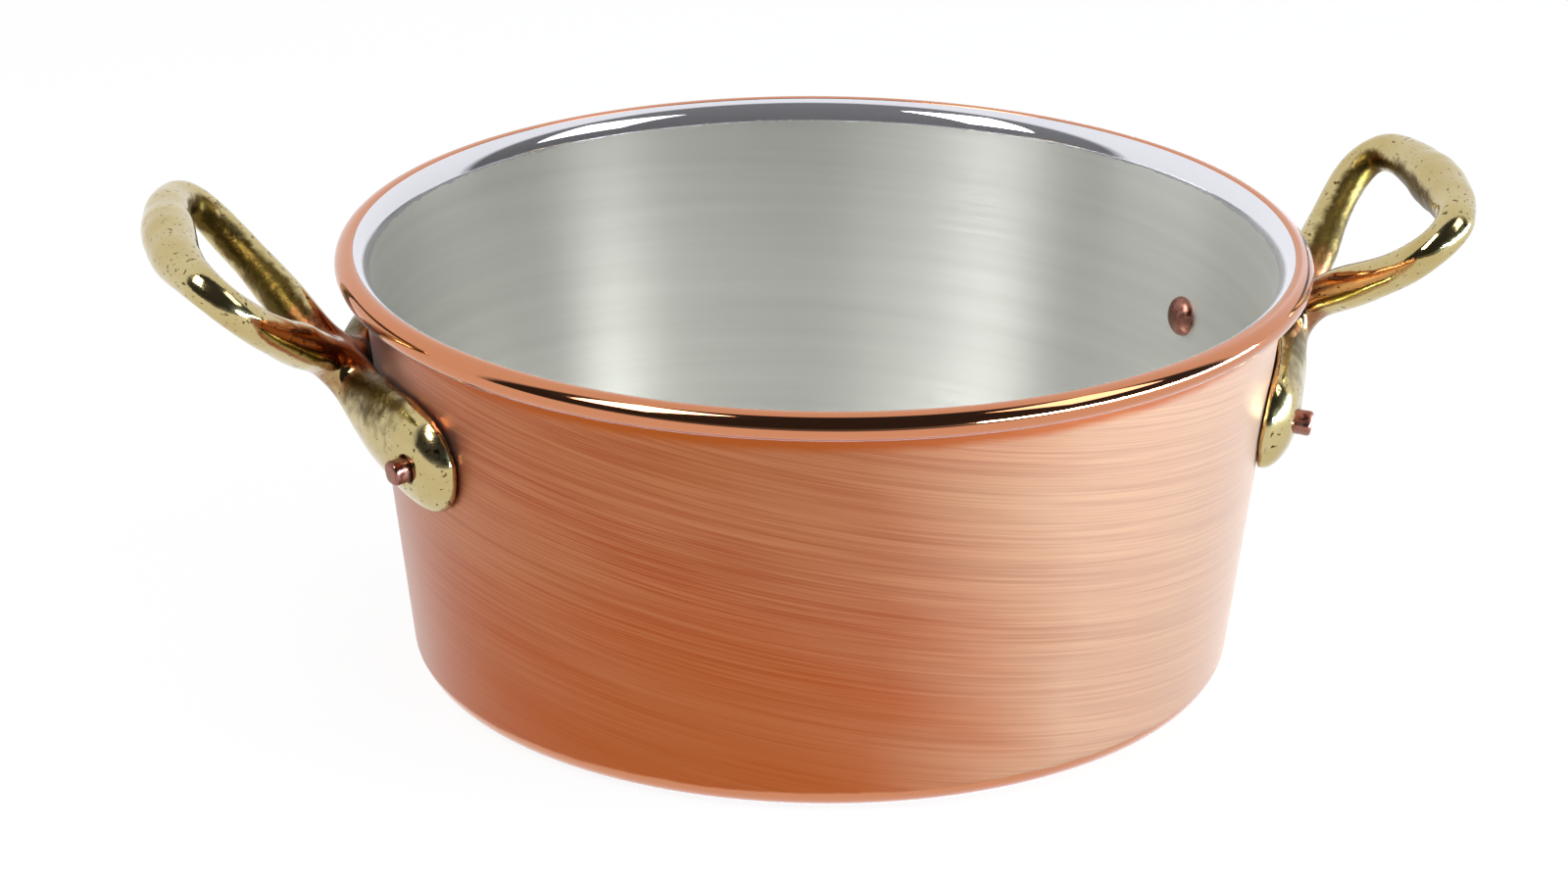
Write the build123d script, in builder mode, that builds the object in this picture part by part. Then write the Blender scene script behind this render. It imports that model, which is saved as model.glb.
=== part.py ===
from build123d import *
from math import cos, pi, radians, sin, sqrt, tan
import os

# Copper jam pan: a spun copper shell with a bonded steel lining and two brass handles, each a cast bar
# closed into a loop and parted into two feet that are riveted to the wall.
# Lengths are in millimetres and angles in degrees. +Z is up, the origin is the middle of the base's
# underside, and the handles lie along X.

# Pan
mouth_diameter = 246.0          # over the rolled lip
mouth_height = 105.9            # base to the widest ring of the lip
wall_lean = 7.06                # of the wall, from upright
base_rounding = 7.1             # between wall and base, outside
copper_thickness = 2.0
lining_thickness = 0.4
lip_radius = 3.5                # half the height of the rolled lip
lip_overhang = 6.1              # lip beyond the line of the wall
lip_root_radius = 2.5           # hollow between the roll and the wall
lining_end_angle = 110.0        # where the lining stops on the roll: 90 is the crown, 180 the inside

# Feet and legs of the handles
right_foot_angle = 19.3         # from the handle's middle to a foot's rivet, round the pan
left_foot_angle = 21.75
right_foot_depth = 36.1         # rivet below the widest ring
left_foot_depth = 32.4
foot_width = 28.2
foot_height = 8.6               # crown of the foot above the wall
foot_overhang = 12.6            # foot beyond its rivet
foot_heading = 75.0             # lean of the foot from straight down
foot_pull = 8.7                 # how far the leg keeps the foot's heading
leg_pull = 15.9                 # how far it keeps the loop's slope before the neck
leg_ease = 1.86                 # above 1, the leg stays like the foot for longer
leg_swell = 3.0                 # added to its height halfway
fit_gap = 0.1                   # between foot and wall

# Loops of the handles
neck_overhang = 1.0             # middle of the neck beyond the lip
neck_depth = 20.3               # and below the widest ring
neck_spacing = 8.6              # between the middles of the two bars at the neck
neck_bar = 12.3                 # thickness of the bar at the neck
loop_tilt = 44.2                # slope of the loop above level
loop_length = 52.4              # neck to the middle of the grip, along the slope
loop_width = 72.7               # between the middles of the arms at the widest
arm_length = 42.1               # neck to where the loop is widest
arm_bar = 9.5
grip_bar = 13.8
grip_sag = 3.6                  # middle of the grip below the plane of the loop
neck_pull = 9.4                 # reach of each curve's handle: out of the neck,
arm_pull = 17.2                 # into the widest place,
corner_pull = 8.1               # into the corner
grip_pull = 22.5                # and out of it along the grip
right_loop_share = 0.9          # the right loop is a smaller casting than the left
left_loop_share = 1.0

# Rivets
shank_diameter = 6.2
rivet_hole_diameter = 6.4
head_diameter = 10.4
head_height = 2.8
seat_gap = 0.05                 # between head and lining
stub_height = 3.4               # above the crown of the foot
stub_edge = 1.0

overrun = 20.0                  # cuts run past the metal by this

# Where the bar's sections lie, as shares of each stretch of its middle line
tip_shares = (0.02, 0.15, 0.45)
leg_shares = (0, 0.25, 0.5, 0.75)
arm_shares = (0, 0.25, 0.5, 0.75)
grip_shares = (0, 0.15, 0.3, 0.45, 0.6, 0.8, 1)

# Sizes that follow from these
lean = radians(wall_lean)
lip_middle = mouth_diameter / 2 - lip_radius
pan_height = mouth_height + lip_radius
skin = copper_thickness + lining_thickness


def wall_radius(height, inset=0.0):
    """Radius of the wall's outside at a height, or of a surface set in from it, square to the wall."""
    outside = mouth_diameter / 2 - lip_overhang - (mouth_height - height) * tan(lean)
    return outside - inset / cos(lean)


def turned(angle, radius, height):
    """The point at an angle round the pan."""
    return Vector(radius * cos(radians(angle)), radius * sin(radians(angle)), height)


def foot_plane(angle, depth):
    """The plane on the wall at a foot's rivet, facing out along the rivet, its X level."""
    height = mouth_height - depth
    return Plane(
        turned(angle, wall_radius(height), height),
        x_dir=turned(angle + 90, 1, 0),
        z_dir=turned(angle, cos(lean), -sin(lean)),
    )


foot_planes = {
    "right_front": foot_plane(-right_foot_angle, right_foot_depth),
    "right_back": foot_plane(right_foot_angle, right_foot_depth),
    "left_back": foot_plane(180 - left_foot_angle, left_foot_depth),
    "left_front": foot_plane(180 + left_foot_angle, left_foot_depth),
}


def hollow(inset):
    """Draw the inside of the pan, set in from the outside of the wall. Its top rolls out to the lip."""
    end = radians(lining_end_angle)
    end_r = lip_middle + lip_radius * cos(end)
    end_z = mouth_height + lip_radius * sin(end)
    off_wall = (end_r - wall_radius(end_z, skin)) * cos(lean)
    lining_roll = off_wall / (1 + cos(end + lean))
    middle_r = end_r - lining_roll * cos(end)
    middle_z = end_z - lining_roll * sin(end)
    roll = lining_roll - (skin - inset)
    start_z = middle_z + roll * sin(lean)
    start_angle = 180 - wall_lean
    out_r = end_r + overrun * cos(end)
    out_z = end_z + overrun * sin(end)
    Line((0, out_z), (0, inset))
    FilletPolyline(
        (0, inset),
        (wall_radius(inset, inset), inset),
        (wall_radius(start_z, inset), start_z),
        radius=base_rounding - inset,
    )
    rim = CenterArc((middle_r, middle_z), roll, start_angle, lining_end_angle - start_angle)
    Polyline(rim @ 1, (out_r, out_z), (0, out_z))


# The copper shell: spun from one disc, its edge rolled outwards
with BuildPart() as pan_body:
    with BuildSketch(Plane.XZ) as shell_section:
        with BuildLine():
            FilletPolyline(
                (0, 0),
                (wall_radius(0), 0),
                (wall_radius(mouth_height), mouth_height),
                radius=base_rounding,
            )
            Polyline(
                (wall_radius(mouth_height), mouth_height),
                (lip_middle, mouth_height),
                (lip_middle, pan_height),
                (0, pan_height),
                (0, 0),
            )
        make_face()
        with Locations((lip_middle, mouth_height)):
            Circle(lip_radius)
        under_lip = (wall_radius(mouth_height - lip_radius), mouth_height - lip_radius)
        fillet(shell_section.vertices().sort_by_distance(under_lip)[0], lip_root_radius)
        with BuildLine():
            hollow(copper_thickness)
        make_face(mode=Mode.SUBTRACT)
    revolve(axis=Axis.Z)
    with Locations(*foot_planes.values()):
        Cylinder(rivet_hole_diameter / 2, overrun, mode=Mode.SUBTRACT)
pan_body.part.label = "pan_body"


# The lining: a thin skin over the whole inside, ending beside the crown of the lip
with BuildPart() as steel_lining:
    with BuildSketch(Plane.XZ):
        with BuildLine():
            hollow(copper_thickness)
        make_face()
        with BuildLine():
            hollow(skin)
        make_face(mode=Mode.SUBTRACT)
    revolve(axis=Axis.Z)
    with Locations(*foot_planes.values()):
        Cylinder(rivet_hole_diameter / 2, overrun, mode=Mode.SUBTRACT)
steel_lining.part.label = "steel_lining"


# Directions and places of a handle on the right
slope = radians(loop_tilt)
up_the_loop = Vector(cos(slope), 0, sin(slope))
under_the_loop = Vector(sin(slope), 0, -cos(slope))
neck = Vector(mouth_diameter / 2 + neck_overhang, 0, mouth_height - neck_depth)


def bar_section(line, share, width, height, crown):
    """The bar's oval section at a share of a line, with its height towards the crown."""
    along = line % share
    upright = crown - along * along.dot(crown)
    with BuildSketch(Plane(line @ share, x_dir=upright, z_dir=along)) as oval:
        Ellipse(height / 2, width / 2)
    return oval.sketch


def between(start, end, share):
    """A size or a direction that changes smoothly along a line."""
    ease = share * share * (3 - 2 * share)
    return start * (1 - ease) + end * ease


def bar_sections(foot, loop_share):
    """Sections of half a handle: from the foot's tip to its rivet, up the leg to the neck, out along the
    arm, and round the corner to the middle of the grip. The loop's sizes are taken at the share."""
    foot_crown = foot.z_dir
    heading = radians(foot_heading)
    down_the_foot = foot.x_dir * sin(heading) - foot.y_dir * cos(heading)
    neck_middle = neck + Vector(0, neck_spacing / 2, 0)
    arm_middle = neck + Vector(0, loop_width * loop_share / 2, 0) + up_the_loop * (arm_length * loop_share)
    grip_middle = neck + up_the_loop * (loop_length * loop_share) + under_the_loop * grip_sag
    with BuildLine():
        tip_line = Line(foot.origin + down_the_foot * foot_overhang, foot.origin)
        leg_line = Bezier(
            foot.origin,
            foot.origin - down_the_foot * foot_pull,
            neck_middle - up_the_loop * leg_pull,
            neck_middle,
        )
        arm_line = Bezier(
            neck_middle,
            neck_middle + up_the_loop * (neck_pull * loop_share),
            arm_middle - up_the_loop * (arm_pull * loop_share),
            arm_middle,
        )
        grip_line = Bezier(
            arm_middle,
            arm_middle + up_the_loop * (corner_pull * loop_share),
            grip_middle + Vector(0, grip_pull * loop_share, 0),
            grip_middle,
        )
    foot_thickness = 2 * foot_height
    sections = [Vertex(tip_line @ 0)]
    for share in tip_shares:
        fullness = sqrt(1 - (1 - share) ** 2)
        width = foot_width * fullness
        height = foot_thickness * fullness
        sections.append(bar_section(tip_line, share, width, height, foot_crown))
    for share in leg_shares:
        eased_share = share**leg_ease
        width = between(foot_width, neck_bar, eased_share)
        height = between(foot_thickness, neck_bar, eased_share) + leg_swell * sin(pi * share)
        crown = between(foot_crown, under_the_loop, eased_share)
        sections.append(bar_section(leg_line, share, width, height, crown))
    for share in arm_shares:
        size = between(neck_bar, arm_bar, share)
        sections.append(bar_section(arm_line, share, size, size, under_the_loop))
    for share in grip_shares:
        size = between(arm_bar, grip_bar, share)
        sections.append(bar_section(grip_line, share, size, size, under_the_loop))
    return sections


def cast_handle(sections, foot_angle, foot_depth):
    """Make a handle on the right in the open part: two mirrored halves of the bar, joined at the grip and
    at the neck, with feet that fit the wall."""
    loft(sections)
    mirror(about=Plane.XZ)
    with Locations(neck):
        Sphere(neck_bar / 2)
    with BuildSketch(Plane.XZ) as inside_wall:
        Polygon(
            (0, 0),
            (wall_radius(0, -fit_gap), 0),
            (wall_radius(pan_height, -fit_gap), pan_height),
            (0, pan_height),
            align=None,
        )
    revolve(inside_wall.sketch, axis=Axis.Z, mode=Mode.SUBTRACT)
    with Locations(foot_plane(foot_angle, foot_depth), foot_plane(-foot_angle, foot_depth)):
        Cylinder(rivet_hole_diameter / 2, 2 * overrun, mode=Mode.SUBTRACT)


right_sections = bar_sections(foot_plane(right_foot_angle, right_foot_depth), right_loop_share)
left_sections = bar_sections(foot_plane(left_foot_angle, left_foot_depth), left_loop_share)

with BuildPart() as handle_right:
    cast_handle(right_sections, right_foot_angle, right_foot_depth)
handle_right.part.label = "handle_right"

with BuildPart() as left_casting:
    cast_handle(left_sections, left_foot_angle, left_foot_depth)

with BuildPart() as handle_left:
    add(left_casting.part.rotate(Axis.Z, 180))
handle_left.part.label = "handle_left"


# One rivet, drawn about Z with the outside of the wall at zero. The wall curves towards the head, so
# the head sits clear of it by as much.
inside_radius = wall_radius(mouth_height - right_foot_depth, skin)
wall_curve = inside_radius - sqrt(inside_radius**2 - (head_diameter / 2) ** 2)
seat = -(skin + wall_curve + seat_gap)
stub_end = foot_height + stub_height
with BuildPart() as rivet:
    with BuildSketch(Plane.XZ) as rivet_section:
        with BuildLine():
            Polyline(
                (0, seat - head_height),
                (0, stub_end),
                (shank_diameter / 2, stub_end),
                (shank_diameter / 2, seat),
                (head_diameter / 2, seat),
            )
            TangentArc((0, seat - head_height), (head_diameter / 2, seat), tangent=(1, 0))
        make_face()
        stub_corner = (shank_diameter / 2, stub_end)
        fillet(rivet_section.vertices().sort_by_distance(stub_corner)[0], stub_edge)
    revolve(axis=Axis.Z)


os.makedirs("parts", exist_ok=True)
export_step(pan_body.part, "parts/pan_body.step")
export_step(steel_lining.part, "parts/steel_lining.step")
export_step(handle_right.part, "parts/handle_right.step")
export_step(handle_left.part, "parts/handle_left.step")
for place, plane in foot_planes.items():
    with BuildPart() as placed_rivet:
        with Locations(plane):
            add(rivet.part)
    placed_rivet.part.label = "rivet_" + place
    export_step(placed_rivet.part, "parts/rivet_" + place + ".step")
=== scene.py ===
import math

import bpy
import numpy as np
from mathutils import Matrix, Vector, noise


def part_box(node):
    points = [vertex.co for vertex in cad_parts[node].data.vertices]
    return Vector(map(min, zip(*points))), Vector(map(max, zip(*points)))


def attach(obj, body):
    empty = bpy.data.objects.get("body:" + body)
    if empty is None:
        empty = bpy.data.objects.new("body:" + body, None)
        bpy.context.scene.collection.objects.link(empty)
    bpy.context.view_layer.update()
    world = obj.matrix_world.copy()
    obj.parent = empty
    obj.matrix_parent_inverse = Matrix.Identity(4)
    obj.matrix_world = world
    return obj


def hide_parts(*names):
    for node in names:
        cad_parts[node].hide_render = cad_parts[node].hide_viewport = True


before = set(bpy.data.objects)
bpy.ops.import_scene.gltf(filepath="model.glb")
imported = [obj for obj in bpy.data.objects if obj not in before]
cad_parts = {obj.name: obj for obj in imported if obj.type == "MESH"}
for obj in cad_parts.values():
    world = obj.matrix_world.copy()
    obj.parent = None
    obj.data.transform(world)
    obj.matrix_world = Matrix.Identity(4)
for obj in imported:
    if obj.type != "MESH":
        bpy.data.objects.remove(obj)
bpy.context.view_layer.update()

# A copper jam pan with a bonded steel lining and two cast brass handles, on a white table in a studio.
# Lengths are in metres, in the same frame as the CAD: +Z up, the handles along X.

MM = 0.001

# Sizes of the pan, as in the CAD
mouth_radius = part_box("pan_body")[1].x
pan_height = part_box("pan_body")[1].z
lip_radius = 3.5 * MM
lip_root_radius = 2.5 * MM
lip_overhang = 6.1 * MM                   # widest ring of the lip beyond the line of the wall
wall_lean = math.radians(7.06)
base_rounding = 7.1 * MM
copper_thickness = 2.0 * MM
skin = copper_thickness + 0.4 * MM        # copper and lining together
lining_back = copper_thickness + 0.01 * MM    # just clear of the copper
lining_end_angle = 110                    # where the lining stops on the roll of the lip
lip_middle = mouth_radius - lip_radius
mouth_height = pan_height - lip_radius
pan_steps = 720                           # round the pan

# Rivets
right_rivet_angle = math.radians(19.3)    # from the handle's middle, round the pan
left_rivet_angle = math.radians(21.75)
right_rivet_height = mouth_height - 36.1 * MM
left_rivet_height = mouth_height - 32.4 * MM
stub_radius = 3.1 * MM
stub_start = 2.0 * MM                     # from the wall's outside
stub_end = 12.0 * MM
stub_rounding = 0.9 * MM
stub_squareness = 0.05                    # share of its radius that its corners stand out
inmost_ring = 0.3 * MM                    # of the mesh on the stub's end
head_radius = 5.2 * MM
head_height = 2.8 * MM
head_seat = -(skin + 0.15 * MM)           # flat side of the head, clear of the lining's curve
rivet_steps = 64
dent_size = 3.4 * MM
dent_depth = 0.1 * MM

# Necks, where the two arms of a handle meet
neck_reach = mouth_radius + 1.0 * MM
neck_height = mouth_height - 19 * MM
loop_reach = mouth_radius + 22 * MM       # middle of the opening inside a loop
loop_height = mouth_height + 2 * MM

# Skin of the castings
casting_grain = 0.7 * MM                  # spacing of the mesh
smoothing_rounds = 24                     # these take the mesh's steps away
smoothing_strength = 0.5
filling_rounds = 60                       # these fill the corners at the neck
filling_strength = 0.6
filled_within = 7.8 * MM                  # full strength up to here from the neck's middle
filled_until = 20.8 * MM                  # none from here on
swell_size = 11 * MM
swell_height = 0.28 * MM
small_swell_size = 4 * MM
small_swell_share = 0.08                  # of the large swell's height


# Shapes that the pieces share

def wall_radius(height, inset=0.0):
    """Radius of the wall's outside at a height, or of a surface set in from it, square to the wall."""
    foot_of_line = mouth_radius - lip_overhang - (mouth_height - height) * math.tan(wall_lean)
    return foot_of_line - inset / math.cos(wall_lean)


def arc(middle, radius, start, end, steps):
    """Points (radius, height) along an arc of a section, its angles in degrees."""
    angles = np.radians(np.linspace(start, end, steps))
    return [(middle[0] + radius * math.cos(a), middle[1] + radius * math.sin(a)) for a in angles]


def flat(height):
    """The flat of the base, from its middle to just short of the rounding."""
    reach = wall_radius(base_rounding, base_rounding)
    return [(reach * share, height) for share in np.linspace(0, 1, 11)[:-1]]


def rounding(inset, steps):
    """The rounding between base and wall, from the base up, set in from the outside."""
    radius = base_rounding - inset
    middle = (wall_radius(base_rounding, base_rounding), base_rounding)
    return arc(middle, radius, -90, -math.degrees(wall_lean), steps)


def inner_roll(inset, steps):
    """The inside of the wall's top, rolling out to the lip, from the wall up."""
    end = math.radians(lining_end_angle)
    end_r = lip_middle + lip_radius * math.cos(end)
    end_z = mouth_height + lip_radius * math.sin(end)
    off_wall = (end_r - wall_radius(end_z, skin)) * math.cos(wall_lean)
    roll = off_wall / (1 + math.cos(end + wall_lean))
    middle = (end_r - roll * math.cos(end), end_z - roll * math.sin(end))
    return arc(middle, roll - (skin - inset), 180 - math.degrees(wall_lean), lining_end_angle, steps)


def turned(profile, steps):
    """Vertices and faces of a turned piece. Its (radius, height) points run from the base's middle
    outwards, up the outside and back in."""
    angles = np.linspace(0, 2 * math.pi, steps, endpoint=False)
    vertices, rings, faces = [], [], []
    for radius, height in profile:
        if radius == 0:
            rings.append([len(vertices)] * steps)
            vertices.append((0.0, 0.0, height))
        else:
            rings.append(range(len(vertices), len(vertices) + steps))
            vertices.extend((radius * math.cos(a), radius * math.sin(a), height) for a in angles)
    for low, high in zip(rings, rings[1:]):
        for i in range(steps):
            j = (i + 1) % steps
            corners = (low[i], low[j], high[j], high[i])
            faces.append(tuple(dict.fromkeys(corners)))
    return np.array(vertices), faces


def add_piece(name, mesh, material, slot, *nodes):
    """Put a mesh into the scene as a smooth piece of the object, in place of its CAD nodes."""
    mesh.polygons.foreach_set("use_smooth", [True] * len(mesh.polygons))
    mesh.materials.clear()
    mesh.materials.append(material)
    piece = bpy.data.objects.new(name, mesh)
    bpy.context.collection.objects.link(piece)
    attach(piece, "root")
    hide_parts(*nodes)
    return piece


def mesh_of(name, vertices, faces):
    """A mesh from vertices and faces."""
    mesh = bpy.data.meshes.new(name)
    mesh.from_pydata(vertices.tolist(), [], faces)
    return mesh


# Materials

def colour(hex_code):
    """An sRGB hex colour as linear RGBA."""
    channels = [int(hex_code[i:i + 2], 16) / 255 for i in (1, 3, 5)]
    linear = [c / 12.92 if c <= 0.04045 else ((c + 0.055) / 1.055) ** 2.4 for c in channels]
    return (*linear, 1.0)


def add(tree, kind, inputs=None, **settings):
    """Add a node to a tree, with its settings and with its inputs as values or links."""
    made = tree.nodes.new(kind)
    for name, value in settings.items():
        setattr(made, name, value)
    for socket, value in (inputs or {}).items():
        if isinstance(value, bpy.types.NodeSocket):
            tree.links.new(value, made.inputs[socket])
        else:
            made.inputs[socket].default_value = value
    return made


def new_material(name):
    """An empty material: its node tree and its output."""
    material = bpy.data.materials.new(name)
    material.use_nodes = True
    material.node_tree.nodes.clear()
    output = add(material.node_tree, "ShaderNodeOutputMaterial")
    return material, material.node_tree, output


# Sockets of a Mix node: its factor, the two colours and their mixture, and the two plain numbers
FACTOR = 0
FIRST, SECOND, MIXED = 6, 7, 2
LOW, HIGH = 2, 3


def brushed_lines(tree, place, length, width, slant):
    """Noise drawn out round the pan: strokes of a length and a width, slanting down towards +X."""
    parts = add(tree, "ShaderNodeSeparateXYZ", {0: place})
    level = add(tree, "ShaderNodeMath", {0: parts.outputs["X"], 1: slant, 2: parts.outputs["Z"]},
                operation="MULTIPLY_ADD")
    across = add(tree, "ShaderNodeMath", {0: level.outputs[0], 1: 1 / width}, operation="MULTIPLY")
    # the sideways shift from stroke to stroke keeps their ends from lining up
    shift = add(tree, "ShaderNodeMath", {0: across.outputs[0], 1: 0.4}, operation="MULTIPLY")
    along_x = add(tree, "ShaderNodeMath", {0: parts.outputs["X"], 1: 1 / length, 2: shift.outputs[0]},
                  operation="MULTIPLY_ADD")
    along_y = add(tree, "ShaderNodeMath", {0: parts.outputs["Y"], 1: 1 / length, 2: shift.outputs[0]},
                  operation="MULTIPLY_ADD")
    drawn = add(tree, "ShaderNodeCombineXYZ",
                {"X": along_x.outputs[0], "Y": along_y.outputs[0], "Z": across.outputs[0]})
    return add(tree, "ShaderNodeTexNoise", {"Vector": drawn.outputs[0], "Scale": 1.0, "Detail": 2.0,
                                            "Roughness": 0.6})


def satin_copper():
    """Copper, spun and brushed round with fine grit: a soft orange sheen drawn into fine lines that slant
    a little. The lip and the foot edge are polished and mirror the room."""
    material, tree, output = new_material("copper_spun_and_brushed")
    place = add(tree, "ShaderNodeTexCoord").outputs["Object"]
    parts = add(tree, "ShaderNodeSeparateXYZ", {0: place})
    height = parts.outputs["Z"]
    # the real strokes are 0.3 mm wide, here they are drawn about twice as wide so that they show
    fine = brushed_lines(tree, place, length=50 * MM, width=0.65 * MM, slant=0.19)
    broad = brushed_lines(tree, place, length=90 * MM, width=3 * MM, slant=0.19)
    clouds = brushed_lines(tree, place, length=130 * MM, width=34 * MM, slant=0.32)
    # the polish is one on the lip and on the foot edge, with ragged borders
    edge_noise = add(tree, "ShaderNodeTexNoise", {"Vector": place, "Scale": 1 / (9 * MM)})
    ragged = add(tree, "ShaderNodeMath", {0: edge_noise.outputs[0], 1: 1.2 * MM, 2: height},
                 operation="MULTIPLY_ADD")
    lip_polish = add(tree, "ShaderNodeMapRange", {"Value": ragged.outputs[0],
                                                  "From Min": mouth_height - 4.4 * MM,
                                                  "From Max": mouth_height - 3.8 * MM})
    foot_polish = add(tree, "ShaderNodeMapRange", {"Value": ragged.outputs[0],
                                                   "From Min": 6.0 * MM, "From Max": 5.4 * MM})
    polish = add(tree, "ShaderNodeMath", {0: lip_polish.outputs[0], 1: foot_polish.outputs[0]},
                 operation="MAXIMUM").outputs[0]
    # tarnish in two warm tones
    patches = add(tree, "ShaderNodeMapRange", {"Value": clouds.outputs[0], "From Min": 0.35,
                                               "From Max": 0.65})
    warm = add(tree, "ShaderNodeMix", {FACTOR: patches.outputs[0], FIRST: colour("#9E4202"),
                                       SECOND: colour("#A65C28")}, data_type="RGBA")
    # painted highlight: the copper is painted paler towards handle_right's side, where the strip lamp falls
    side = add(tree, "ShaderNodeMath", {0: clouds.outputs[0], 1: 40 * MM, 2: parts.outputs["X"]},
               operation="MULTIPLY_ADD")
    painted_highlight = add(tree, "ShaderNodeMapRange", {"Value": side.outputs[0], "From Min": 14 * MM,
                                             "From Max": 62 * MM}).outputs[0]
    ground = add(tree, "ShaderNodeMix", {FACTOR: painted_highlight, FIRST: warm.outputs[MIXED],
                                         SECOND: colour("#B4805A")}, data_type="RGBA")
    cut = add(tree, "ShaderNodeMix", {FACTOR: painted_highlight, FIRST: colour("#B66E40"),
                                      SECOND: colour("#C29068")}, data_type="RGBA")
    # the broad strokes only shade the fine ones a little
    streaks = add(tree, "ShaderNodeMath", {0: broad.outputs[0], 1: 0.3, 2: fine.outputs[0]},
                  operation="MULTIPLY_ADD")
    stroke = add(tree, "ShaderNodeMapRange", {"Value": streaks.outputs[0], "From Min": 0.5,
                                              "From Max": 0.8})
    lined = add(tree, "ShaderNodeMix", {FACTOR: stroke.outputs[0], FIRST: ground.outputs[MIXED],
                                        SECOND: cut.outputs[MIXED]}, data_type="RGBA")
    # deeper orange: a painted reflection of copper in copper close under the lip, and deeper low on the
    # wall
    painted_reflection_under_lip = add(tree, "ShaderNodeMapRange", {"Value": ragged.outputs[0],
                                                 "From Min": mouth_height - 8 * MM,
                                                 "From Max": mouth_height - 6 * MM, "To Max": 0.9})
    drift = add(tree, "ShaderNodeMath", {0: clouds.outputs[0], 1: 80 * MM, 2: height},
                operation="MULTIPLY_ADD")
    over_foot = add(tree, "ShaderNodeMapRange", {"Value": drift.outputs[0], "From Min": 105 * MM,
                                                 "From Max": 50 * MM})
    # less of the deeper low orange on the side with the painted highlight
    away_from_painted_highlight = add(tree, "ShaderNodeMath", {0: painted_highlight, 1: -0.75, 2: 0.75}, operation="MULTIPLY_ADD")
    over_foot = add(tree, "ShaderNodeMath", {0: over_foot.outputs[0], 1: away_from_painted_highlight.outputs[0]},
                    operation="MULTIPLY")
    painted_reflection_and_low_orange = add(tree, "ShaderNodeMath", {0: painted_reflection_under_lip.outputs[0], 1: over_foot.outputs[0]},
               operation="MAXIMUM").outputs[0]
    deepened = add(tree, "ShaderNodeMix", {FACTOR: painted_reflection_and_low_orange, FIRST: lined.outputs[MIXED],
                                           SECOND: colour("#AC5008")}, data_type="RGBA")
    toned = add(tree, "ShaderNodeMix", {FACTOR: polish, FIRST: deepened.outputs[MIXED],
                                        SECOND: colour("#CC8660")}, data_type="RGBA")
    satin = add(tree, "ShaderNodeMapRange", {"Value": streaks.outputs[0], "From Min": 0.4,
                                             "From Max": 0.9, "To Min": 0.32, "To Max": 0.35})
    rough = add(tree, "ShaderNodeMix", {FACTOR: polish, LOW: satin.outputs[0], HIGH: 0.06},
                data_type="FLOAT")
    depth = add(tree, "ShaderNodeMix", {FACTOR: polish, LOW: 0.05, HIGH: 0.0}, data_type="FLOAT")
    bump = add(tree, "ShaderNodeBump", {"Strength": depth.outputs[0], "Distance": 0.05 * MM,
                                        "Height": broad.outputs[0]})
    # the scratched skin scatters a pale veil over the copper, less on the painted reflection and the low
    # orange
    scratched = add(tree, "ShaderNodeMix", {FACTOR: painted_reflection_and_low_orange, LOW: 0.7, HIGH: 0.3}, data_type="FLOAT")
    veil = add(tree, "ShaderNodeMix", {FACTOR: polish, LOW: scratched.outputs[0], HIGH: 0.0},
               data_type="FLOAT")
    metal = add(tree, "ShaderNodeBsdfPrincipled",
                {"Base Color": toned.outputs[MIXED], "Metallic": 1.0, "Roughness": rough.outputs[0],
                 "Normal": bump.outputs[0], "Coat Weight": veil.outputs[0], "Coat Roughness": 0.6,
                 "Sheen Weight": 0.3, "Sheen Roughness": 0.3})
    tree.links.new(metal.outputs[0], output.inputs["Surface"])
    return material


def lining_steel():
    """Stainless steel, brushed round the inside: a grey sheen that light draws into upright bands. It is
    polished to a mirror where it rolls to the lip."""
    material, tree, output = new_material("stainless_steel_brushed")
    place = add(tree, "ShaderNodeTexCoord").outputs["Object"]
    height = add(tree, "ShaderNodeSeparateXYZ", {0: place}).outputs["Z"]
    # the real strokes are too fine to show, so here they are 0.5 mm wide
    fine = brushed_lines(tree, place, length=90 * MM, width=0.5 * MM, slant=0.02)
    broad = brushed_lines(tree, place, length=120 * MM, width=5 * MM, slant=0.04)
    edge_noise = add(tree, "ShaderNodeTexNoise", {"Vector": place, "Scale": 1 / (3 * MM)})
    ragged = add(tree, "ShaderNodeMath", {0: edge_noise.outputs[0], 1: 1.5 * MM, 2: height},
                 operation="MULTIPLY_ADD")
    polish = add(tree, "ShaderNodeMapRange", {"Value": ragged.outputs[0],
                                              "From Min": mouth_height - 1.0 * MM,
                                              "From Max": mouth_height - 0.8 * MM}).outputs[0]
    brushed = add(tree, "ShaderNodeMix", {FACTOR: broad.outputs[0], FIRST: colour("#DADBD6"),
                                          SECOND: colour("#ECEDE9")}, data_type="RGBA")
    toned = add(tree, "ShaderNodeMix", {FACTOR: polish, FIRST: brushed.outputs[MIXED],
                                        SECOND: colour("#E2E2EA")}, data_type="RGBA")
    satin = add(tree, "ShaderNodeMapRange", {"Value": fine.outputs[0], "From Min": 0.3,
                                             "From Max": 0.7, "To Min": 0.30, "To Max": 0.35})
    rough = add(tree, "ShaderNodeMix", {FACTOR: polish, LOW: satin.outputs[0], HIGH: 0.04},
                data_type="FLOAT")
    depth = add(tree, "ShaderNodeMix", {FACTOR: polish, LOW: 0.015, HIGH: 0.0}, data_type="FLOAT")
    bump = add(tree, "ShaderNodeBump", {"Strength": depth.outputs[0], "Distance": 0.05 * MM,
                                        "Height": fine.outputs[0]})
    tangent = add(tree, "ShaderNodeTangent", direction_type="RADIAL", axis="Z")
    metal = add(tree, "ShaderNodeBsdfPrincipled",
                {"Base Color": toned.outputs[MIXED], "Metallic": 0.8, "Roughness": rough.outputs[0],
                 "Normal": bump.outputs[0], "Tangent": tangent.outputs[0], "Anisotropic": 0.8,
                 "Anisotropic Rotation": 0.25})
    tree.links.new(metal.outputs[0], output.inputs["Surface"])
    return material


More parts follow.
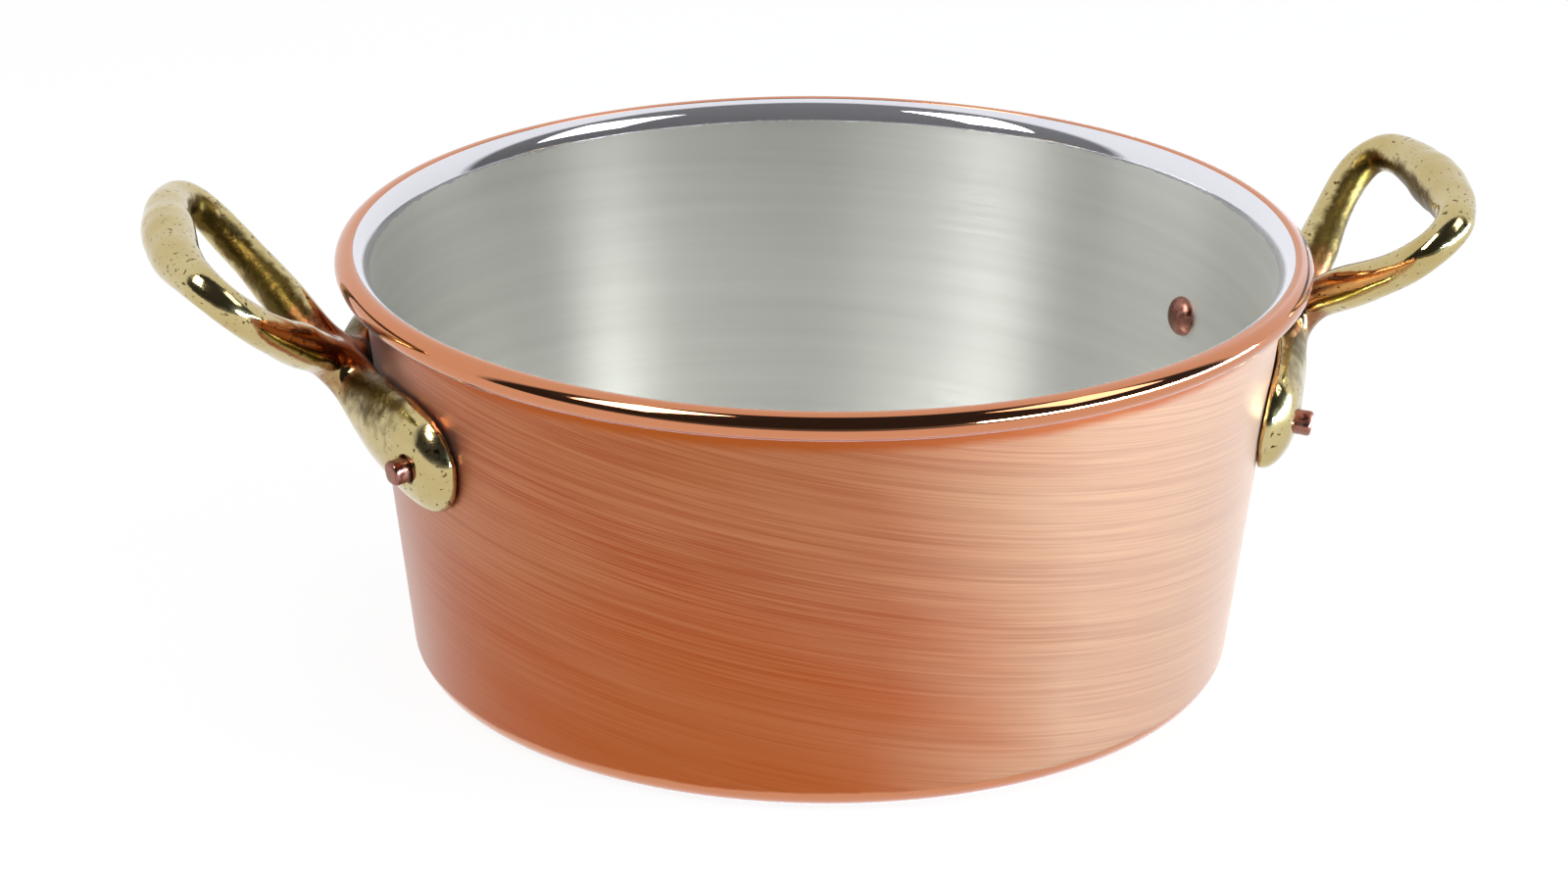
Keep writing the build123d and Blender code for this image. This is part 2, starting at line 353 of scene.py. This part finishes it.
def cast_brass():
    """Brass, sand cast and polished by hand: bright but uneven, with pits left from the casting. Inside
    the loops it is left raw and olive, and at the neck, out of the wheel's reach, it is browned."""
    material, tree, output = new_material("brass_cast_and_polished")
    place = add(tree, "ShaderNodeTexCoord").outputs["Object"]
    either_side = add(tree, "ShaderNodeVectorMath", {0: place}, operation="ABSOLUTE").outputs[0]
    off_neck = add(tree, "ShaderNodeVectorMath", {0: either_side, 1: (neck_reach, 0, neck_height)},
                   operation="DISTANCE").outputs["Value"]
    blotches = add(tree, "ShaderNodeTexNoise", {"Vector": place, "Scale": 1 / (4 * MM), "Detail": 5.0})
    # how squarely the surface faces the middle of its loop, on both handles alike
    normal = add(tree, "ShaderNodeNewGeometry").outputs["Normal"]
    side = add(tree, "ShaderNodeVectorMath", {0: place}, operation="SIGN")
    facing = add(tree, "ShaderNodeVectorMath", {0: normal, 1: side.outputs[0]}, operation="MULTIPLY")
    to_loop = add(tree, "ShaderNodeVectorMath", {0: (loop_reach, 0, loop_height), 1: either_side},
                  operation="SUBTRACT")
    to_loop = add(tree, "ShaderNodeVectorMath", {0: to_loop.outputs[0]}, operation="NORMALIZE")
    inward = add(tree, "ShaderNodeVectorMath", {0: to_loop.outputs[0], 1: facing.outputs[0]},
                 operation="DOT_PRODUCT").outputs["Value"]
    inward = add(tree, "ShaderNodeMath", {0: blotches.outputs[0], 1: 0.8, 2: inward},
                 operation="MULTIPLY_ADD")
    unpolished = add(tree, "ShaderNodeMapRange", {"Value": inward.outputs[0], "From Min": 0.7,
                                                  "From Max": 1.0})
    uneven = add(tree, "ShaderNodeMath", {0: blotches.outputs[0], 1: -16 * MM, 2: off_neck},
                 operation="MULTIPLY_ADD")
    browned = add(tree, "ShaderNodeMapRange", {"Value": uneven.outputs[0], "From Min": 9 * MM,
                                               "From Max": 1 * MM, "To Max": 0.9})
    clouds = add(tree, "ShaderNodeTexNoise", {"Vector": place, "Scale": 1 / (14 * MM), "Detail": 4.0})
    pits = add(tree, "ShaderNodeTexNoise", {"Vector": place, "Scale": 1 / (1.3 * MM), "Detail": 3.0})
    clustered = add(tree, "ShaderNodeMath", {0: clouds.outputs[0], 1: 0.25, 2: pits.outputs[0]},
                    operation="MULTIPLY_ADD")
    pitted = add(tree, "ShaderNodeMapRange", {"Value": clustered.outputs[0], "From Min": 0.75,
                                              "From Max": 0.82}).outputs[0]
    tone = add(tree, "ShaderNodeMix", {FACTOR: clouds.outputs[0], FIRST: colour("#B39B5C"),
                                       SECOND: colour("#D2C598")}, data_type="RGBA")
    raw = add(tree, "ShaderNodeMix", {FACTOR: unpolished.outputs[0], FIRST: tone.outputs[MIXED],
                                      SECOND: colour("#5C4A20")}, data_type="RGBA")
    aged = add(tree, "ShaderNodeMix", {FACTOR: browned.outputs[0], FIRST: raw.outputs[MIXED],
                                       SECOND: colour("#8C5638")}, data_type="RGBA")
    marked = add(tree, "ShaderNodeMix", {FACTOR: pitted, FIRST: aged.outputs[MIXED],
                                         SECOND: colour("#5A4318")}, data_type="RGBA")
    satin = add(tree, "ShaderNodeMapRange", {"Value": clouds.outputs[0], "From Min": 0.3,
                                             "From Max": 0.7, "To Min": 0.08, "To Max": 0.18})
    rough = add(tree, "ShaderNodeMix", {FACTOR: unpolished.outputs[0], LOW: satin.outputs[0],
                                        HIGH: 0.38}, data_type="FLOAT")
    depth = add(tree, "ShaderNodeMix", {FACTOR: unpolished.outputs[0], LOW: 0.15, HIGH: 1.0},
                data_type="FLOAT")
    bump = add(tree, "ShaderNodeBump", {"Strength": depth.outputs[0], "Distance": 0.5 * MM,
                                        "Height": blotches.outputs[0]})
    metal = add(tree, "ShaderNodeBsdfPrincipled",
                {"Base Color": marked.outputs[MIXED], "Metallic": 1.0, "Roughness": rough.outputs[0],
                 "Normal": bump.outputs[0]})
    tree.links.new(metal.outputs[0], output.inputs["Surface"])
    return material


def hammered_copper():
    """Copper rod, its ends beaten over cold and browned by handling: dull dents with small glints."""
    material, tree, output = new_material("copper_rivet_hammered")
    place = add(tree, "ShaderNodeTexCoord").outputs["Object"]
    dents = add(tree, "ShaderNodeTexNoise", {"Vector": place, "Scale": 1 / (1.5 * MM), "Detail": 3.0})
    tone = add(tree, "ShaderNodeMix", {FACTOR: dents.outputs[0], FIRST: colour("#6A4036"),
                                       SECOND: colour("#B07C6C")}, data_type="RGBA")
    rough = add(tree, "ShaderNodeMapRange", {"Value": dents.outputs[0], "From Min": 0.3,
                                             "From Max": 0.7, "To Min": 0.2, "To Max": 0.42})
    bump = add(tree, "ShaderNodeBump", {"Strength": 0.35, "Distance": 0.2 * MM,
                                        "Height": dents.outputs[0]})
    metal = add(tree, "ShaderNodeBsdfPrincipled",
                {"Base Color": tone.outputs[MIXED], "Metallic": 1.0, "Roughness": rough.outputs[0],
                 "Normal": bump.outputs[0]})
    tree.links.new(metal.outputs[0], output.inputs["Surface"])
    return material


# The pan and its lining

def lip_root_middle():
    """Middle of the small hollow between the wall and the roll of the lip, found by halving."""
    reach = lip_root_radius + lip_radius
    low, high = mouth_height - reach, mouth_height
    for _ in range(40):
        height = (low + high) / 2
        off = math.hypot(wall_radius(height, -lip_root_radius) - lip_middle, height - mouth_height)
        if off > reach:
            low = height
        else:
            high = height
    return wall_radius(height, -lip_root_radius), height


def make_pan(material):
    """The copper shell."""
    root_r, root_z = lip_root_middle()
    to_lip = math.degrees(math.atan2(mouth_height - root_z, lip_middle - root_r))
    lean = math.degrees(wall_lean)
    profile = flat(0)
    profile += rounding(0, steps=14)
    profile += arc((root_r, root_z), lip_root_radius, 180 - lean, to_lip, steps=10)
    profile += arc((lip_middle, mouth_height), lip_radius, to_lip - 180, lining_end_angle, steps=40)[1:]
    profile += inner_roll(copper_thickness, steps=12)[::-1]
    profile += rounding(copper_thickness, steps=8)[::-1]
    profile += [(0, copper_thickness)]
    mesh = mesh_of("pan", *turned(profile, pan_steps))
    return add_piece("pan", mesh, material, "copper", "pan_body")


def make_lining(material):
    """The steel skin over the whole inside."""
    profile = flat(skin)
    profile += rounding(skin, steps=12)
    profile += inner_roll(skin, steps=24)
    profile += inner_roll(lining_back, steps=12)[::-1]
    profile += rounding(lining_back, steps=8)[::-1]
    profile += [(0, lining_back)]
    vertices, faces = turned(profile, pan_steps)
    mesh = mesh_of("lining", vertices, [face[::-1] for face in faces])
    return add_piece("lining", mesh, material, "lining_steel", "steel_lining")


# The handles

def relax(mesh, points, strength, rounds):
    """Draw each vertex towards its neighbours' middle, by its own strength."""
    edges = np.empty(len(mesh.edges) * 2, dtype=np.int64)
    mesh.edges.foreach_get("vertices", edges)
    first, second = edges.reshape(-1, 2).T
    amount = len(points)
    count = np.bincount(edges, minlength=amount)
    for _ in range(rounds):
        total = np.stack([np.bincount(first, points[second, axis], amount)
                          + np.bincount(second, points[first, axis], amount) for axis in range(3)], axis=1)
        points = points + strength[:, None] * (total / count[:, None] - points)
    return points


def make_handle(name, node, material):
    """One casting: the CAD's solid with an even skin, its inner corners filled as in a mould, and its
    surface a little uneven."""
    blank = bpy.data.objects.new("blank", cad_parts[node].data.copy())
    bpy.context.collection.objects.link(blank)
    even_skin = blank.modifiers.new("even_skin", "REMESH")
    even_skin.mode = "VOXEL"
    even_skin.voxel_size = casting_grain
    mesh = bpy.data.meshes.new_from_object(blank.evaluated_get(bpy.context.evaluated_depsgraph_get()))
    bpy.data.objects.remove(blank)
    points = np.empty(len(mesh.vertices) * 3)
    mesh.vertices.foreach_get("co", points)
    points = points.reshape(-1, 3)
    off_neck = np.linalg.norm(np.abs(points) - (neck_reach, 0, neck_height), axis=1)
    near_neck = np.clip((filled_until - off_neck) / (filled_until - filled_within), 0, 1)
    cast = points
    points = relax(mesh, points, np.full(len(points), smoothing_strength), smoothing_rounds)
    mesh.vertices.foreach_set("co", points.ravel())
    mesh.update()
    normals = np.empty(len(points) * 3)
    mesh.vertices.foreach_get("normal", normals)
    # smoothing shrinks the bar a little, so it is swelled back
    lost = np.mean(np.sum((cast - points) * normals.reshape(-1, 3), axis=1))
    points = points + normals.reshape(-1, 3) * lost
    points = relax(mesh, points, filling_strength * near_neck, filling_rounds)
    mesh.vertices.foreach_set("co", points.ravel())
    mesh.update()
    mesh.vertices.foreach_get("normal", normals)
    places = [Vector(point) for point in points]
    large_swell = np.array([noise.noise(place / swell_size) for place in places])
    small_swell = np.array([noise.noise(place / small_swell_size) for place in places])
    swell = large_swell + small_swell_share * small_swell
    # half a step back keeps the highest swells inside the CAD's box
    points = points + normals.reshape(-1, 3) * (swell_height * (swell - 0.5))[:, None]
    mesh.vertices.foreach_set("co", points.ravel())
    mesh.update()
    return add_piece(name, mesh, material, "cast_brass", node)


# The rivets

def make_rivet(name, node, angle, level, seed, material):
    """One rivet, beaten over at both ends: a domed head inside and a squared stub outside."""
    corner = (stub_radius - stub_rounding, stub_end - stub_rounding)
    profile = [(0, head_seat - head_height)]
    profile += [(head_radius * math.sin(a), head_seat - head_height * math.cos(a))
                for a in np.radians(np.linspace(8, 90, 16))]
    profile += [(stub_radius, head_seat)]
    profile += [(stub_radius, z) for z in np.linspace(head_seat, corner[1], 24)]
    profile += arc(corner, stub_rounding, 0, 90, steps=8)[1:]
    profile += [(r, stub_end) for r in np.linspace(corner[0], inmost_ring, 8)[1:]]
    profile += [(0, stub_end)]
    points, faces = turned(profile, rivet_steps)
    around = np.arctan2(points[:, 1], points[:, 0])
    on_stub = points[:, 2] > stub_start
    points[on_stub, :2] *= (1 + stub_squareness * np.cos(4 * around[on_stub] + seed))[:, None]
    # each rivet takes its dents from a place of its own in the noise
    own_place = Vector((seed * 7, 0, 0))
    for i, point in enumerate(points):
        dent = noise.noise_vector(Vector(point) / dent_size + own_place)
        points[i] += np.array(dent) * dent_depth
    mesh = mesh_of(name, points, faces)
    radius = wall_radius(level)
    seat = Matrix.Translation((radius * math.cos(angle), radius * math.sin(angle), level))
    mesh.transform(seat @ Matrix.Rotation(angle, 4, "Z") @ Matrix.Rotation(math.pi / 2 + wall_lean, 4, "Y"))
    return add_piece(name, mesh, material, "rivet_copper", node)


copper = satin_copper()
steel = lining_steel()
brass = cast_brass()
rivet_copper = hammered_copper()

make_pan(copper)
make_lining(steel)
make_handle("brass_handle_right", "handle_right", brass)
make_handle("brass_handle_left", "handle_left", brass)
rivet_places = {
    "right_front": (-right_rivet_angle, right_rivet_height),
    "right_back": (right_rivet_angle, right_rivet_height),
    "left_back": (math.pi - left_rivet_angle, left_rivet_height),
    "left_front": (math.pi + left_rivet_angle, left_rivet_height),
}
noise.seed_set(1)    # the same dents in every run
for seed, (place, (angle, level)) in enumerate(rivet_places.items()):
    make_rivet("beaten_rivet_" + place, "rivet_" + place, angle, level, seed, rivet_copper)


# The table, the light and the camera

table_reach = 6.0                         # from its middle to its edges, enough to fill every view
table_edge = 0.42                         # from its middle to the near edge that mirrors show
table_drop = 0.1 * MM                     # the table lies this much under the pan's base
lamp_aim = 60 * MM                        # height on the pan's axis that the lamps point at
white = colour("#FFFFFF")
dark = colour("#383838")                  # the camera's side of the room, as mirrors show it


def white_table():
    """White painted table top: plain and matt, with the pan's soft shadow. The camera and what mirrors it
    see it white."""
    material, tree, output = new_material("white_table_top")
    path = add(tree, "ShaderNodeLightPath")
    seen = add(tree, "ShaderNodeMath", {0: path.outputs["Is Camera Ray"], 1: path.outputs["Is Glossy Ray"]},
               operation="MAXIMUM")
    seen = add(tree, "ShaderNodeMath", {0: seen.outputs[0], 1: path.outputs["Is Transmission Ray"]},
               operation="MAXIMUM")
    share = add(tree, "ShaderNodeMath", {0: seen.outputs[0], 1: 0.9}, operation="MULTIPLY")
    paint = add(tree, "ShaderNodeBsdfDiffuse", {"Color": colour("#F4F4F4")})
    # past the table's near edge, polished metal mirrors the dark side of the room
    place = add(tree, "ShaderNodeTexCoord").outputs["Object"]
    depth = add(tree, "ShaderNodeSeparateXYZ", {0: place}).outputs["Y"]
    on_table = add(tree, "ShaderNodeMapRange", {"Value": depth, "From Min": -table_edge - 20 * MM,
                                                "From Max": -table_edge + 20 * MM})
    shown = add(tree, "ShaderNodeMath", {0: on_table.outputs[0], 1: path.outputs["Is Camera Ray"]},
                operation="MAXIMUM")
    shade = add(tree, "ShaderNodeMix", {FACTOR: shown.outputs[0], FIRST: dark, SECOND: white},
                data_type="RGBA")
    glow = add(tree, "ShaderNodeEmission", {"Color": shade.outputs[MIXED], "Strength": 1.0})
    both = add(tree, "ShaderNodeMixShader", {0: share.outputs[0], 1: paint.outputs[0], 2: glow.outputs[0]})
    tree.links.new(both.outputs[0], output.inputs["Surface"])
    return material


table_mesh = bpy.data.meshes.new("table")
table_mesh.from_pydata([(-table_reach, -table_reach, 0), (table_reach, -table_reach, 0),
                        (table_reach, table_reach, 0), (-table_reach, table_reach, 0)], [], [(0, 1, 2, 3)])
table = bpy.data.objects.new("table", table_mesh)
table.location.z = -table_drop
table_mesh.materials.append(white_table())
bpy.context.collection.objects.link(table)

# The room: white behind the pan, dark on the camera's side. The camera itself sees white all round.
room = bpy.data.worlds.new("studio_room")
bpy.context.scene.world = room
room.use_nodes = True
room.node_tree.nodes.clear()
direction = add(room.node_tree, "ShaderNodeSeparateXYZ",
                {0: add(room.node_tree, "ShaderNodeTexCoord").outputs["Generated"]})
far_side = add(room.node_tree, "ShaderNodeMapRange",
               {"Value": direction.outputs["Y"], "From Min": 0.0, "From Max": 0.1})
air = add(room.node_tree, "ShaderNodeMix", {FACTOR: far_side.outputs[0], FIRST: dark, SECOND: white},
          data_type="RGBA")
to_camera = add(room.node_tree, "ShaderNodeLightPath").outputs["Is Camera Ray"]
backdrop = add(room.node_tree, "ShaderNodeMix", {FACTOR: to_camera, FIRST: air.outputs[MIXED],
                                                 SECOND: white}, data_type="RGBA")
sky = add(room.node_tree, "ShaderNodeBackground", {"Color": backdrop.outputs[MIXED], "Strength": 1.0})
add(room.node_tree, "ShaderNodeOutputWorld", {"Surface": sky.outputs[0]})


def add_softbox(name, azimuth, elevation, distance, width, height, energy, tint="#FFFFFF"):
    """A soft lamp aimed at the pan. Its azimuth is in degrees from -Y towards +X."""
    lamp = bpy.data.lights.new(name, "AREA")
    lamp.shape = "RECTANGLE"
    lamp.size = width
    lamp.size_y = height
    lamp.energy = energy
    lamp.color = colour(tint)[:3]
    holder = bpy.data.objects.new(name, lamp)
    bpy.context.collection.objects.link(holder)
    around, up = math.radians(azimuth), math.radians(elevation)
    way = Vector((math.sin(around) * math.cos(up), -math.cos(around) * math.cos(up), math.sin(up)))
    holder.location = Vector((0, 0, lamp_aim)) + way * distance
    holder.rotation_euler = way.to_track_quat("Z", "Y").to_euler()


add_softbox("softbox_left", azimuth=-62, elevation=48, distance=1.6, width=0.5, height=1.0, energy=19)
add_softbox("softbox_right", azimuth=62, elevation=45, distance=1.6, width=0.7, height=0.8, energy=7)
add_softbox("strip_right", azimuth=60, elevation=0, distance=0.9, width=1.4, height=0.1, energy=55,
            tint="#CDE6FF")

# The camera, at the photo's angle. It aims a little beside the mouth's middle and under it.
view_azimuth = math.radians(-11.24)
view_elevation = math.radians(19.4)
view_distance = 10.8468 * mouth_radius
aim_sideways = math.radians(0.44)
aim_down = math.radians(21.424)
aim_roll = math.radians(0.491)
lens = bpy.data.cameras.new("camera")
lens.sensor_width = 36
lens.lens = 121.5
camera = bpy.data.objects.new("camera", lens)
bpy.context.collection.objects.link(camera)
bpy.context.scene.camera = camera
back = Vector((math.sin(view_azimuth) * math.cos(view_elevation),
               -math.cos(view_azimuth) * math.cos(view_elevation), math.sin(view_elevation)))
turn = Matrix.Rotation(view_azimuth + aim_sideways, 4, "Z")
tilt = Matrix.Rotation(math.pi / 2 - aim_down, 4, "X")
roll = Matrix.Rotation(aim_roll, 4, "Z")
stand = Matrix.Translation(Vector((0, 0, mouth_height)) + back * view_distance)
camera.matrix_world = stand @ turn @ tilt @ roll

bpy.context.scene.view_settings.view_transform = "Standard"
